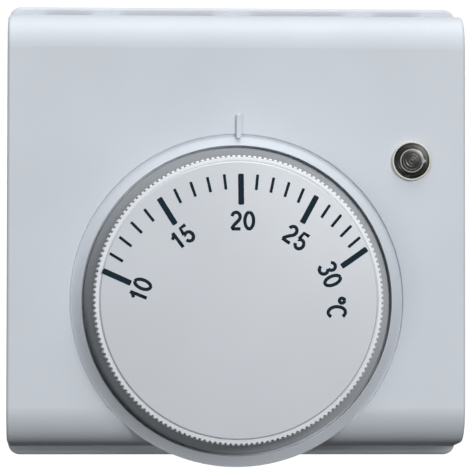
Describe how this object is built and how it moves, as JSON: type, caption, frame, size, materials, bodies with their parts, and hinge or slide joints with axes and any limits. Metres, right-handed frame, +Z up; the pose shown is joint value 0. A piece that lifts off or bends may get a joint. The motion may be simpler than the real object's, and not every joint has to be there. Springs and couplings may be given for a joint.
{
  "type": "wall thermostat",
  "caption": "Square wall thermostat with a large knurled dial, printed temperature scale and neon lamp, driving a vapour capsule, lever and snap switch.",
  "frame": {"origin": "midway between the two wall screw slots, on the back face that lies on the wall", "axes": "+Z up, +X to the right seen from the room, -Y out of the wall into the room"},
  "size_m": [0.084, 0.0344, 0.0857],
  "materials": {
    "cover_white": "satin cool white ABS",
    "dial_white": "satin cool white ABS, finely knurled rim",
    "base_white": "satin white ABS",
    "ivory": "ivory plastic",
    "smoke_lens": "smoky clear plastic lens",
    "bulb_glass": "clear glass",
    "electrode": "nickel wire",
    "black_plastic": "black phenolic",
    "grey_plastic": "grey polyamide",
    "zinc_steel": "zinc plated sheet steel",
    "screw_steel": "zinc plated steel",
    "spring_steel": "bright spring steel",
    "brass": "turned brass",
    "bronze": "spring bronze",
    "copper": "copper strip",
    "silver": "silver contact",
    "resistor": "lacquered resistor",
    "wire_white": "insulated wire",
    "scale_ink": "dark printing ink of the dial's scale"
  },
  "bodies": {
    "housing": {"rear_base": "base_white", "front_cover": "cover_white", "cover_screw": "screw_steel", "limit_pins": "screw_steel", "spindle_bush": "brass", "bridge_bracket": "zinc_steel", "bracket_screws": "screw_steel", "guide_posts": "screw_steel", "carriage_springs": "spring_steel", "lever_bracket": "zinc_steel", "lever_pin": "screw_steel", "switch_housing": "black_plastic", "switch_lid": "black_plastic", "fixed_contacts": "silver", "line_strip": "copper", "closed_strip": "copper", "open_strip": "copper", "neutral_strip": "copper", "terminal_block": "black_plastic", "terminal_clamps": "brass", "terminal_screws": "screw_steel", "lamp_bezel": "ivory", "indicator_lens": "smoke_lens", "lamp_holder": "ivory", "neon_bulb": "bulb_glass", "neon_electrodes": "electrode", "lamp_resistor": "resistor", "lamp_wires": "wire_white", "heater_resistor": "resistor"},
    "dial": {"dial_knob": "dial_white", "spindle": "brass", "spring_washer": "spring_steel", "spindle_clip": "spring_steel"},
    "carriage": {"capsule_carriage": "grey_plastic", "capsule_front_shell": "bronze", "capsule_diaphragm": "bronze", "capsule_fill_tube": "copper"},
    "pusher": {"pusher_button": "grey_plastic"},
    "lever": {"switch_lever": "zinc_steel", "calibration_screw": "brass"},
    "button": {"switch_button": "grey_plastic"},
    "blade": {"contact_blade": "bronze", "blade_contacts": "silver"}
  },
  "joints": [
    {"name": "dial_turn", "type": "hinge", "parent": "housing", "child": "dial", "pos_m": [0, -0.03, -0.0133], "axis": [0, -1, 0], "range_deg": [-80, 72]},
    {"name": "carriage_feed", "type": "slide", "parent": "housing", "child": "carriage", "axis": [0, -1, 0], "range_m": [-0.0007, 0.00065], "deforming": ["carriage_springs"]},
    {"name": "pusher_stroke", "type": "slide", "parent": "carriage", "child": "pusher", "axis": [0, 1, 0], "range_m": [0, 0.0008], "stiffness_N_per_m": 600, "deforming": ["capsule_diaphragm"]},
    {"name": "lever_tilt", "type": "hinge", "parent": "housing", "child": "lever", "pos_m": [0, -0.009, -0.0303], "axis": [-1, 0, 0], "range_deg": [0, 1.1], "stiffness_Nm_per_rad": 0.3},
    {"name": "button_travel", "type": "slide", "parent": "housing", "child": "button", "axis": [0, 1, 0], "range_m": [0, 0.00042]},
    {"name": "blade_swing", "type": "hinge", "parent": "housing", "child": "blade", "pos_m": [0, -0.0055, -0.019], "axis": [-1, 0, 0], "range_deg": [0, 2.7]}
  ],
  "couplings": [
    {"joint": "carriage_feed", "follows": "dial_turn", "m_per_rad": 0.00047746},
    {"joint": "button_travel", "follows": "lever_tilt", "m_per_rad": 0.021},
    {"joint": "blade_swing", "follows": "lever_tilt", "ratio": 2.36}
  ]
}
